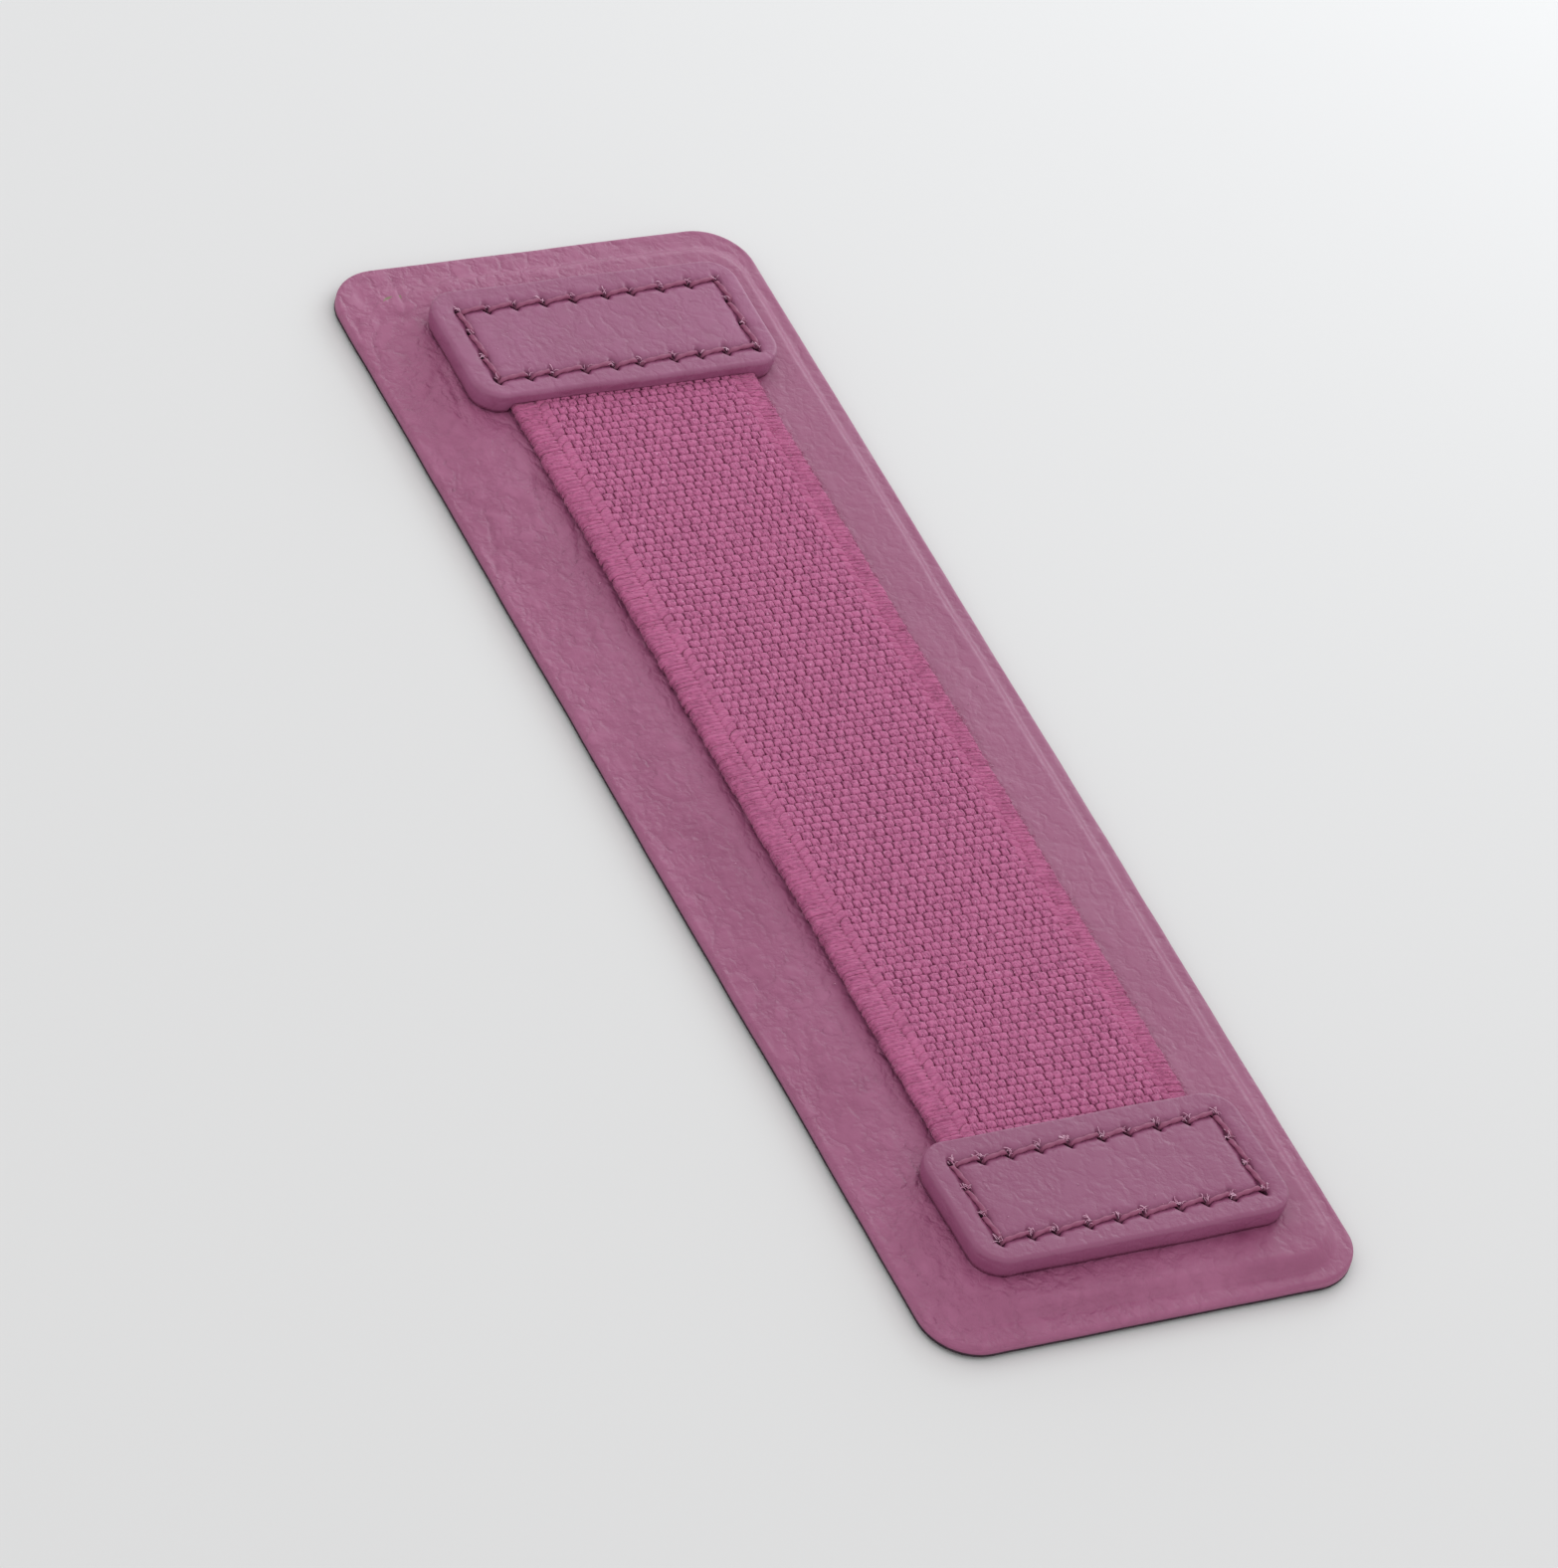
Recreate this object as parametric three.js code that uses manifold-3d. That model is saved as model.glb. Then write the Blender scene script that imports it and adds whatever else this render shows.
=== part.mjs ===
// Phone finger strap: a leather-covered base with an adhesive underside, and a woven elastic
// band that a finger slips under, held at each end by a box-stitched leather tab.
// Millimetres. The origin is the centre of the underside, +Y runs along the strap, +Z is up.

import * as THREE from "three";
import Module from "manifold-3d";
import { mergeVertices } from "three/addons/utils/BufferGeometryUtils.js";

// Base, mm
const BASE_WIDTH = 30.9;
const BASE_LENGTH = 100.6;
const BASE_CORNER = 3.7;
const ADHESIVE_INSET = 0.7;
const ADHESIVE_TOP = 0.3;
const LINING_TOP = 0.5;
const RIM_TOP = 1.1;
const RIM_EDGE_ROUND = 0.2;
const STEP_START = 1.4;
const STEP_END = 2.4;
const PANEL_TOP = 1.8;
const BOARD_TOP = 1.25;
const BOARD_POCKET_INSET = 2.8;
const BOARD_CLEARANCE = 0.2;

// Elastic band, mm
const BAND_CENTRE_X = 0.55;
const BAND_WIDTH = 18.0;
const BAND_CREST = PANEL_TOP + 0.82;
const BAND_VALLEY = PANEL_TOP + 0.58;
const BAND_EDGE_HEIGHT = 0.4;
const BAND_EDGE_TUCK = 0.25;
const SELVAGE_ROUND = 0.4;
const SELVAGE_TOP = PANEL_TOP + 0.74;
const WEAVE_CENTRE_X = 0.89;
const WEAVE_WIDTH = 13.83;
const DENT_COUNT = 14;
const YARNS_IN_DENT = 3;
const YARN_PITCH = 0.27;
const PICK_PITCH = 0.648;
const SELVAGE_POINT_EVERY = 2;

// Tabs, mm
const TAB_CENTRE_X = 0.5;
const TAB_WIDTH = 22.5;
const TAB_LENGTH = 10.55;
const TAB_CORNER = 2.1;
const TAB_TOP = 3.4;
const UPPER_TAB_Y = 39.75;
const LOWER_TAB_Y = -40.35;
const TAB_POCKET_CLEARANCE = 0.3;
const BAND_END_INSET = 2.6;

// Box stitch, mm
const SEAM_WIDTH = 19.25;
const SEAM_LENGTH = 6.65;
const LONG_ROW_STITCHES = 9;
const SHORT_ROW_STITCHES = 3;
const GROOVE_HALF_WIDTH = 0.42;
const GROOVE_FLOOR_HALF_WIDTH = 0.32;
const GROOVE_DEPTH = 0.34;
const NEEDLE_HOLE_HALF = 0.3;
const NEEDLE_HOLE_DEPTH = 0.28;
const THREAD_RADIUS = 0.15;
const THREAD_GAP = 0.04;
const THREAD_DIP = 0.28;
const STITCH_SLANT = 0.13;
const THREAD_SIDES = 6;

// Each entry of an edge profile is [inset from the outline, height]
const TAB_PROFILE = [
  [0.25, PANEL_TOP],
  [0.05, PANEL_TOP + 0.4],
  [0.0, PANEL_TOP + 0.9],
  [0.07, TAB_TOP - 0.38],
  [0.22, TAB_TOP - 0.12],
  [0.5, TAB_TOP],
];

const COVER_PROFILE = [
  [0.0, LINING_TOP],
  [0.0, RIM_TOP - RIM_EDGE_ROUND],
  [RIM_EDGE_ROUND, RIM_TOP],
  [STEP_START, RIM_TOP],
  [STEP_START + 0.3, RIM_TOP + 0.12],
  [STEP_END - 0.3, PANEL_TOP - 0.1],
  [STEP_END, PANEL_TOP],
];

const ARC_STEPS = 6;

const wasm = await Module();
wasm.setup();

// Collects points and triangles of one closed solid
class Skin {
  constructor() {
    this.points = [];
    this.faces = [];
  }

  add(x, y, z) {
    this.points.push(x, y, z);
    return this.points.length / 3 - 1;
  }

  addRing(ring) {
    return ring.map((p) => this.add(p.x, p.y, p.z));
  }

  face(a, b, c) {
    this.faces.push(a, b, c);
  }

  // Joins two rings of equal count; the solid lies to the left of the way from lower to upper
  bridge(lower, upper) {
    const count = lower.length;
    for (let i = 0; i < count; i += 1) {
      const next = (i + 1) % count;
      this.face(lower[i], lower[next], upper[next]);
      this.face(lower[i], upper[next], upper[i]);
    }
  }

  // Closes a flat region bounded by a ring, with an optional ring-shaped opening in it
  cap(outer, inner, facesUp) {
    const flat = (ring) => ring.map((i) => new THREE.Vector2(this.points[3 * i], this.points[3 * i + 1]));
    const holes = inner ? [flat(inner)] : [];
    const ids = inner ? outer.concat(inner) : outer;
    for (const [a, b, c] of THREE.ShapeUtils.triangulateShape(flat(outer), holes)) {
      const triangle = [ids[a], ids[b], ids[c]];
      const signedArea = THREE.ShapeUtils.area(flat(triangle));
      if (signedArea > 0 !== facesUp) {
        triangle.reverse();
      }
      this.face(...triangle);
    }
  }

  geometry() {
    const geometry = new THREE.BufferGeometry();
    geometry.setAttribute("position", new THREE.Float32BufferAttribute(this.points, 3));
    geometry.setIndex(this.faces);
    return geometry;
  }
}

// A rounded rectangle, counter-clockwise, with the same count of points at every size
function roundedRing(width, length, corner, inset, z) {
  const radius = Math.max(corner - inset, 0.25);
  const reachX = width / 2 - inset - radius;
  const reachY = length / 2 - inset - radius;
  const centres = [
    [reachX, reachY],
    [-reachX, reachY],
    [-reachX, -reachY],
    [reachX, -reachY],
  ];
  const ring = [];
  centres.forEach(([x, y], quarter) => {
    for (let i = 0; i <= ARC_STEPS; i += 1) {
      const angle = (quarter + i / ARC_STEPS) * (Math.PI / 2);
      ring.push(new THREE.Vector3(x + radius * Math.cos(angle), y + radius * Math.sin(angle), z));
    }
  });
  return ring;
}

function baseRing(inset, z) {
  return roundedRing(BASE_WIDTH, BASE_LENGTH, BASE_CORNER, inset, z);
}

// A flat layer with the base's outline
function layerGeometry(inset, bottom, top) {
  const skin = new Skin();
  const lower = skin.addRing(baseRing(inset, bottom));
  const upper = skin.addRing(baseRing(inset, top));
  skin.cap(lower, null, false);
  skin.bridge(lower, upper);
  skin.cap(upper, null, true);
  return skin.geometry();
}

// Leather moulded over the board: rim, step and raised panel above, the board's pocket below
function coverGeometry() {
  const skin = new Skin();
  const ceiling = skin.addRing(baseRing(BOARD_POCKET_INSET, BOARD_TOP));
  const mouth = skin.addRing(baseRing(BOARD_POCKET_INSET, LINING_TOP));
  const profile = COVER_PROFILE.map(([inset, z]) => skin.addRing(baseRing(inset, z)));
  skin.cap(ceiling, null, false);
  skin.bridge(ceiling, mouth);
  skin.bridge(mouth, profile[0]);
  for (let i = 1; i < profile.length; i += 1) {
    skin.bridge(profile[i - 1], profile[i]);
  }
  skin.cap(profile[profile.length - 1], null, true);
  return skin.geometry();
}

// The box stitch's needle holes, in order round the seam, each with its direction of travel
function seamHoles() {
  const corners = [
    new THREE.Vector2(SEAM_WIDTH / 2, SEAM_LENGTH / 2),
    new THREE.Vector2(-SEAM_WIDTH / 2, SEAM_LENGTH / 2),
    new THREE.Vector2(-SEAM_WIDTH / 2, -SEAM_LENGTH / 2),
    new THREE.Vector2(SEAM_WIDTH / 2, -SEAM_LENGTH / 2),
  ];
  const holes = [];
  corners.forEach((corner, side) => {
    const end = corners[(side + 1) % 4];
    const stitches = side % 2 === 0 ? LONG_ROW_STITCHES : SHORT_ROW_STITCHES;
    const along = end.clone().sub(corner).normalize();
    for (let i = 0; i < stitches; i += 1) {
      holes.push({ at: corner.clone().lerp(end, i / stitches), along, isCorner: i === 0 });
    }
  });
  holes.forEach((hole, i) => {
    hole.before = holes[(i + holes.length - 1) % holes.length].along;
  });
  return holes;
}

// The outward side of a direction of travel that runs counter-clockwise
function outward(along) {
  return new THREE.Vector2(along.y, -along.x);
}

// A ring that follows the seam at a sideways offset; it dips by `dip` at each needle hole
function seamRing(offset, z, dip) {
  const ring = [];
  for (const hole of seamHoles()) {
    const sideIn = outward(hole.before);
    const sideOut = outward(hole.along);
    const middle = hole.isCorner ? sideIn.clone().add(sideOut) : sideOut;
    const entry = hole.at.clone().addScaledVector(hole.before, -NEEDLE_HOLE_HALF);
    const exit = hole.at.clone().addScaledVector(hole.along, NEEDLE_HOLE_HALF);
    entry.addScaledVector(sideIn, offset);
    exit.addScaledVector(sideOut, offset);
    const centre = hole.at.clone().addScaledVector(middle, offset);
    if (hole.isCorner && offset < 0) {
      entry.addScaledVector(hole.before, offset);
      exit.addScaledVector(hole.along, -offset);
    }
    ring.push(new THREE.Vector3(entry.x, entry.y, z));
    ring.push(new THREE.Vector3(centre.x, centre.y, z - dip));
    ring.push(new THREE.Vector3(exit.x, exit.y, z));
  }
  return ring;
}

// Turns a closed geometry into a solid for cutting
function solidOf(geometry) {
  const bare = geometry.clone();
  bare.deleteAttribute("normal");
  bare.deleteAttribute("uv");
  const merged = mergeVertices(bare, 1e-5);
  return new wasm.Manifold(
    new wasm.Mesh({
      numProp: 3,
      vertProperties: new Float32Array(merged.attributes.position.array),
      triVerts: new Uint32Array(merged.index.array),
    }),
  );
}

function geometryOf(solid) {
  const mesh = solid.getMesh();
  const geometry = new THREE.BufferGeometry();
  geometry.setAttribute("position", new THREE.BufferAttribute(mesh.vertProperties, 3));
  geometry.setIndex(new THREE.BufferAttribute(mesh.triVerts, 1));
  return geometry;
}

// A leather tab about its own centre, with turned edges, a sunk seam with needle holes and a
// pocket for the band's end. `inward` points along Y to the middle of the strap, 1 or -1.
function tabGeometry(inward) {
  const skin = new Skin();
  const edge = TAB_PROFILE.map(([inset, z]) =>
    skin.addRing(roundedRing(TAB_WIDTH, TAB_LENGTH, TAB_CORNER, inset, z)),
  );
  const grooveOuter = skin.addRing(seamRing(GROOVE_HALF_WIDTH, TAB_TOP, 0));
  const floor = TAB_TOP - GROOVE_DEPTH;
  const floorOuter = skin.addRing(seamRing(GROOVE_FLOOR_HALF_WIDTH, floor, NEEDLE_HOLE_DEPTH));
  const floorInner = skin.addRing(seamRing(-GROOVE_FLOOR_HALF_WIDTH, floor, NEEDLE_HOLE_DEPTH));
  const grooveInner = skin.addRing(seamRing(-GROOVE_HALF_WIDTH, TAB_TOP, 0));
  skin.cap(edge[0], null, false);
  for (let i = 1; i < edge.length; i += 1) {
    skin.bridge(edge[i - 1], edge[i]);
  }
  skin.cap(edge[edge.length - 1], grooveOuter, true);
  skin.bridge(grooveOuter, floorOuter);
  skin.bridge(floorOuter, floorInner);
  skin.bridge(floorInner, grooveInner);
  skin.cap(grooveInner, null, true);

  const pocketEnd = bandEndY(0, inward) - inward * TAB_POCKET_CLEARANCE;
  const pocketMouth = inward * TAB_LENGTH;
  const pocketHeight = 2 * (BAND_CREST - PANEL_TOP);
  const pocketWidth = BAND_WIDTH + 2 * TAB_POCKET_CLEARANCE;
  const pocket = new THREE.BoxGeometry(pocketWidth, Math.abs(pocketMouth - pocketEnd), pocketHeight);
  pocket.translate(BAND_CENTRE_X - TAB_CENTRE_X, (pocketMouth + pocketEnd) / 2, PANEL_TOP);
  return geometryOf(solidOf(skin.geometry()).subtract(solidOf(pocket)));
}

// Where the band ends inside a tab
function bandEndY(centreY, inward) {
  return centreY - inward * (TAB_LENGTH / 2 - BAND_END_INSET);
}

// One closed thread round the seam, lying in the groove and dipping into each needle hole
function threadGeometry() {
  const skin = new Skin();
  const high = TAB_TOP - GROOVE_DEPTH + THREAD_RADIUS + THREAD_GAP;
  const low = high - THREAD_DIP;
  const sections = [];
  const station = (at, side, z) => {
    const ring = [];
    for (let i = 0; i < THREAD_SIDES; i += 1) {
      const angle = ((i + 0.5) / THREAD_SIDES) * 2 * Math.PI;
      const reach = THREAD_RADIUS * Math.cos(angle);
      const rise = THREAD_RADIUS * Math.sin(angle);
      ring.push(new THREE.Vector3(at.x + side.x * reach, at.y + side.y * reach, z + rise));
    }
    sections.push(skin.addRing(ring));
  };
  for (const hole of seamHoles()) {
    const sideIn = outward(hole.before);
    const sideOut = outward(hole.along);
    const middle = hole.isCorner ? sideIn.clone().add(sideOut) : sideOut;
    const entry = hole.at.clone().addScaledVector(hole.before, -NEEDLE_HOLE_HALF);
    const exit = hole.at.clone().addScaledVector(hole.along, NEEDLE_HOLE_HALF);
    station(entry.addScaledVector(sideIn, -STITCH_SLANT), sideIn, high);
    station(hole.at, middle, low);
    station(exit.addScaledVector(sideOut, STITCH_SLANT), sideOut, high);
  }
  sections.forEach((section, i) => {
    skin.bridge(sections[(i + 1) % sections.length], section);
  });
  return skin.geometry();
}

// Fills the strip between two lines that both run towards +Y; the solid lies below it when
// `left` is on the -X side. Between woven yarns it takes the lower diagonal, so crests stand apart.
function fillStrip(skin, left, right) {
  const y = (id) => skin.points[3 * id + 1];
  const z = (id) => skin.points[3 * id + 2];
  let i = 0;
  let j = 0;
  while (i < left.length - 1 || j < right.length - 1) {
    const leftNext = i < left.length - 1 ? y(left[i + 1]) : Infinity;
    const rightNext = j < right.length - 1 ? y(right[j + 1]) : Infinity;
    let stepLeft = leftNext < rightNext;
    if (leftNext === rightNext) {
      stepLeft = z(left[i + 1]) + z(right[j]) <= z(left[i]) + z(right[j + 1]);
    }
    if (stepLeft) {
      skin.face(left[i], right[j], left[i + 1]);
      i += 1;
    } else {
      skin.face(left[i], right[j], right[j + 1]);
      j += 1;
    }
  }
}

// The woven band: yarns in groups of three, each passing over every other pick, with its
// neighbours passing over the picks between; a plain selvage runs along each side.
function bandGeometry() {
  const skin = new Skin();
  const lowEnd = bandEndY(LOWER_TAB_Y, 1);
  const highEnd = bandEndY(UPPER_TAB_Y, -1);
  const weaveLow = LOWER_TAB_Y + TAB_LENGTH / 2 + 0.1;
  const weaveHigh = UPPER_TAB_Y - TAB_LENGTH / 2 - 0.1;
  const pickCount = Math.round((weaveHigh - weaveLow) / PICK_PITCH) - 1;
  const pickY = (pick) => weaveLow + ((pick + 1) * (weaveHigh - weaveLow)) / (pickCount + 1);

  const yarnLine = (x, yarn) => {
    const line = [skin.add(x, lowEnd, BAND_CREST), skin.add(x, weaveLow, BAND_CREST)];
    for (let pick = 0; pick < pickCount; pick += 1) {
      const over = (yarn + pick) % 2 === 0;
      line.push(skin.add(x, pickY(pick), over ? BAND_CREST : BAND_VALLEY));
    }
    line.push(skin.add(x, weaveHigh, BAND_CREST), skin.add(x, highEnd, BAND_CREST));
    return line;
  };

  const plainLine = (x, z) => {
    const line = [skin.add(x, lowEnd, z), skin.add(x, weaveLow, z)];
    for (let pick = SELVAGE_POINT_EVERY; pick < pickCount - 1; pick += SELVAGE_POINT_EVERY) {
      line.push(skin.add(x, pickY(pick), z));
    }
    line.push(skin.add(x, weaveHigh, z), skin.add(x, highEnd, z));
    return line;
  };

  const halfWidth = BAND_WIDTH / 2;
  const dentPitch = WEAVE_WIDTH / DENT_COUNT;
  const lines = [];
  lines.push([skin.add(BAND_CENTRE_X - halfWidth + BAND_EDGE_TUCK, lowEnd, PANEL_TOP),
    skin.add(BAND_CENTRE_X - halfWidth + BAND_EDGE_TUCK, highEnd, PANEL_TOP)]);
  lines.push(plainLine(BAND_CENTRE_X - halfWidth, PANEL_TOP + BAND_EDGE_HEIGHT));
  lines.push(plainLine(BAND_CENTRE_X - halfWidth + SELVAGE_ROUND, SELVAGE_TOP));
  for (let dent = 0; dent < DENT_COUNT; dent += 1) {
    const dentX = WEAVE_CENTRE_X + (dent - (DENT_COUNT - 1) / 2) * dentPitch;
    for (let k = 0; k < YARNS_IN_DENT; k += 1) {
      const x = dentX + (k - (YARNS_IN_DENT - 1) / 2) * YARN_PITCH;
      lines.push(yarnLine(x, dent * YARNS_IN_DENT + k));
    }
  }
  lines.push(plainLine(BAND_CENTRE_X + halfWidth - SELVAGE_ROUND, SELVAGE_TOP));
  lines.push(plainLine(BAND_CENTRE_X + halfWidth, PANEL_TOP + BAND_EDGE_HEIGHT));
  lines.push([skin.add(BAND_CENTRE_X + halfWidth - BAND_EDGE_TUCK, lowEnd, PANEL_TOP),
    skin.add(BAND_CENTRE_X + halfWidth - BAND_EDGE_TUCK, highEnd, PANEL_TOP)]);

  lines.forEach((line, i) => fillStrip(skin, line, lines[(i + 1) % lines.length]));
  closeBandEnd(skin, lines.map((line) => line[0]), true);
  closeBandEnd(skin, lines.map((line) => line[line.length - 1]), false);
  return skin.geometry();
}

// The flat cut at one end of the band
function closeBandEnd(skin, ids, facesLow) {
  const outline = ids.map((id) => new THREE.Vector2(skin.points[3 * id], skin.points[3 * id + 2]));
  for (const [a, b, c] of THREE.ShapeUtils.triangulateShape(outline, [])) {
    const area = THREE.ShapeUtils.area([outline[a], outline[b], outline[c]]);
    if (area > 0 === facesLow) {
      skin.face(ids[a], ids[b], ids[c]);
    } else {
      skin.face(ids[c], ids[b], ids[a]);
    }
  }
}

const LEATHER = { color: 0x9d6482, roughness: 0.5, metalness: 0 };
const ELASTIC = { color: 0xa45d7f, roughness: 0.9, metalness: 0 };
const THREAD = { color: 0x8a4668, roughness: 0.6, metalness: 0 };
const LINING = { color: 0x8a5570, roughness: 0.85, metalness: 0 };
const BOARD = { color: 0x8f8578, roughness: 0.9, metalness: 0 };
const ADHESIVE = { color: 0x2b2529, roughness: 0.7, metalness: 0 };

function named(name, geometry, finish, x = 0, y = 0) {
  const mesh = new THREE.Mesh(geometry, new THREE.MeshStandardMaterial(finish));
  mesh.name = name;
  mesh.position.set(x, y, 0);
  return mesh;
}

const strap = new THREE.Group();
strap.add(
  named("adhesive_pad", layerGeometry(ADHESIVE_INSET, 0, ADHESIVE_TOP), ADHESIVE),
  named("base_lining", layerGeometry(0, ADHESIVE_TOP, LINING_TOP), LINING),
  named("base_board", layerGeometry(BOARD_POCKET_INSET + BOARD_CLEARANCE, LINING_TOP, BOARD_TOP), BOARD),
  named("base_cover", coverGeometry(), LEATHER),
  named("elastic_band", bandGeometry(), ELASTIC),
  named("upper_tab", tabGeometry(-1), LEATHER, TAB_CENTRE_X, UPPER_TAB_Y),
  named("lower_tab", tabGeometry(1), LEATHER, TAB_CENTRE_X, LOWER_TAB_Y),
  named("upper_seam_thread", threadGeometry(), THREAD, TAB_CENTRE_X, UPPER_TAB_Y),
  named("lower_seam_thread", threadGeometry(), THREAD, TAB_CENTRE_X, LOWER_TAB_Y),
);

export default strap;
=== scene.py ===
# Phone finger strap: leather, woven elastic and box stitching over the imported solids.

import math

import bpy
import numpy as np
from mathutils import Matrix, Vector


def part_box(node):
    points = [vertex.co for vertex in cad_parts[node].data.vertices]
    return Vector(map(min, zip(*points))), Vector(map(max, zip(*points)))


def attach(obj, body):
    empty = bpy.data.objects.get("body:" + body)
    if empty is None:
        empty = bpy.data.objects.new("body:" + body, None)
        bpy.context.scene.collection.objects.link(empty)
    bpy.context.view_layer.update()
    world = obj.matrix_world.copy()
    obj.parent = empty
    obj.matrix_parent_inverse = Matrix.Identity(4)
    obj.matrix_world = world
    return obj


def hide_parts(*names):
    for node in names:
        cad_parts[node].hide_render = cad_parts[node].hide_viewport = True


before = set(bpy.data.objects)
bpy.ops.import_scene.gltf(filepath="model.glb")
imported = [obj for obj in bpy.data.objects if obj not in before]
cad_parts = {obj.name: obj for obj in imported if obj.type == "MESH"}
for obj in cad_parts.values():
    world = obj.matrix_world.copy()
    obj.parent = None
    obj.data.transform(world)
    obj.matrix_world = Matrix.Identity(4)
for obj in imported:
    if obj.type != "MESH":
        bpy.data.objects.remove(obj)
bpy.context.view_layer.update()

MM = 0.001

# Camera, from the photograph: angles in degrees, lengths in mm
VIEW_AZIMUTH = -35.822
VIEW_ELEVATION = 41.363
VIEW_ROLL = 17.21
VIEW_DISTANCE = 785.3
VIEW_TARGET = (-3.71, -0.3)
LENS_MM = 279.2
SENSOR_MM = 36.0

# Plates: how far in from a side their close grid lines lie, and where the even ones stop, in mm
EDGE_INSETS = (0, 0.03, 0.08, 0.15, 0.24, 0.35, 0.5)
INNER_INSET = 0.65

# Base, mm
BASE_CORNER = 3.7
RIM_TOP = 1.1
RIM_EDGE_ROUND = 0.25
RIM_WIDTHS = (0.3, 0.75, 1.5, 1.7)
STEP_WIDTHS = (5.6, 0.9, 0.85, 1.1)
STEP_CORNER = 3.0
RIGHT_STEP_LEAN = 0.0045
BASE_STEP = 0.2
BASE_CORNER_ROWS = 19
OUTLINE_WANDER = 0.06
BASE_LEAN = -0.004
LOWER_EDGE_LEAN = 0.032
LINING_TOP = 0.5
ADHESIVE_TOP = 0.3
ADHESIVE_INSET = 0.7
VALLEY_Y = -48.75
VALLEY_HALF_WIDTH = 0.3
VALLEY_DEPTH = 0.1

# Band, mm
PANEL_TOP = 1.8
BAND_CREST = 2.62
WEAVE_CENTRE_X = 0.89
WEAVE_WIDTH = 13.83
DENT_COUNT = 14
YARN_PITCH = 0.285
PICK_PITCH = 0.648
YARN_SIDES = 10
YARN_SWING = 0.11
YARN_MIDDLE = 2.38
PAIR_HALF_WIDTH = 0.285
SINGLE_HALF_WIDTH = 0.37
CROSSING_HALF_WIDTH = 0.24
YARN_HALF_THICKNESS = 0.13
CROSSING_HALF_THICKNESS = 0.1
CORE_TOP = 2.35
TURN_WIDTHS = {-1: 0.95, 1: 0.6}
TURN_SLANT = 0.55
TURN_HALF_WIDTH = 0.4
TURN_HALF_THICKNESS = 0.13
STRANDS_PER_PICK = 2
STRAND_HALF_WIDTH = 0.22
STRAND_HALF_THICKNESS = 0.08
SELVAGE_BEND = 0.34
UNDER_TAB = 0.5

# Tabs, mm
TAB_CORNER = 2.1
TAB_STEP = 0.08
TAB_CORNER_ROWS = 33
TAB_SPREADS = {"upper_tab": (0.15, 0.0), "lower_tab": (0.15, 0.2)}
TAB_TURNS = {"upper_tab": 0.0, "lower_tab": 1.8}
TAB_EDGE_ROUND = 0.3
TAB_EDGE_DROP = 0.3
TAB_TUCK = 0.12
TAB_SIDE_WAVER = 0.05
TAB_END_WAVER = 0.07
SEAM_SIZES = {"upper_tab": (19.2, 6.73), "lower_tab": (19.06, 6.75)}
SEAM_CENTRES = {"upper_tab": (0.165, -0.13), "lower_tab": (0.075, -0.06)}
LONG_ROW_STITCHES = 9
SHORT_ROW_STITCHES = 3
GROOVE_DEPTH = 0.17
GROOVE_SPREAD = 0.34
HOLE_DEPTH = 0.75
SLIT_ANGLE = 97
SLIT_HALF_LENGTH = 0.42
SLIT_HALF_WIDTH = 0.17
SLIT_SHADE_FROM = 0.3
THREAD_RADIUS = 0.165
THREAD_SIDES = 12
THREAD_STEP = 0.1
THREAD_SINK = 0.06
THREAD_BOW = 0.03
TWIST_LENGTH = 0.9
DIVE_DEPTH = 0.36
DIVE_REACH = 0.16
STITCH_SLANT = 0.17
FRAYS_PER_HOLE = {"upper_tab": 3, "lower_tab": 7}

# Loose fibres and dust: counts, and places in mm
EDGE_FUZZ_COUNT = 3800
LINT_COUNT = 700
DUST_COUNT = 60
DUST_INSET = 1.2
DUST_MARGINS = ((-11.5, -9.0), (10.2, 12.8))
DUST_REACH = 33

# Colours, sRGB 0 to 255: most as the things look in plain light; those marked below hold painted shade,
# painted light or painted highlights
LEATHER_COLOUR = (167, 95, 132)
LEATHER_DEEP = (150, 78, 115)
# The tabs' leather is the base's leather set darker, a shaded copy of it: painted shade
TAB_SHADED_COLOUR = (156, 89, 126)
TAB_SHADED_DEEP = (144, 76, 112)
# The cut edge's own colour, set lighter than the face to make up for the shade on the walls: partly its own
# colour, partly painted light
LEATHER_EDGE = (178, 104, 142)
LEATHER_EDGE_DEEP = (150, 82, 116)
YARN_COLOUR = (196, 106, 151)
# YARN_DEEP is the yarn's colour at the foot of its grains: painted shade between them, and the dark end of
# its random fibre tone
YARN_DEEP = (118, 38, 82)
# The colour of painted glints on the yarn
YARN_PAINTED_GLINT = (226, 158, 194)
WEFT_COLOUR = (158, 62, 110)
WEFT_DEEP = (124, 42, 84)
SELVAGE_COLOUR = (198, 106, 151)
# SELVAGE_DEEP is the selvage's colour low down its sides: painted shade, and the dark end of its random
# fibre tone
SELVAGE_DEEP = (134, 58, 98)
LINT_COLOUR = (226, 170, 200)
THREAD_COLOUR = (150, 80, 112)
# THREAD_DEEP is the thread's colour where it dives into its holes: painted shade
THREAD_DEEP = (92, 44, 68)
FRAY_COLOUR = (244, 198, 222)
FRAY_DEEP = (196, 128, 162)
# The dark inside of the needle slits: painted shade in the holes
SLIT_SHADE_COLOUR = (98, 50, 76)
SLIT_SHADE_DEEP = (66, 32, 52)
LINING_COLOUR = (58, 42, 52)
LINING_DEEP = (44, 32, 40)
BOARD_COLOUR = (150, 138, 120)
BOARD_DEEP = (138, 126, 108)
ADHESIVE_COLOUR = (48, 42, 46)
ADHESIVE_DEEP = (38, 33, 36)
FLOOR_COLOUR = (232, 232, 232)

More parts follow.
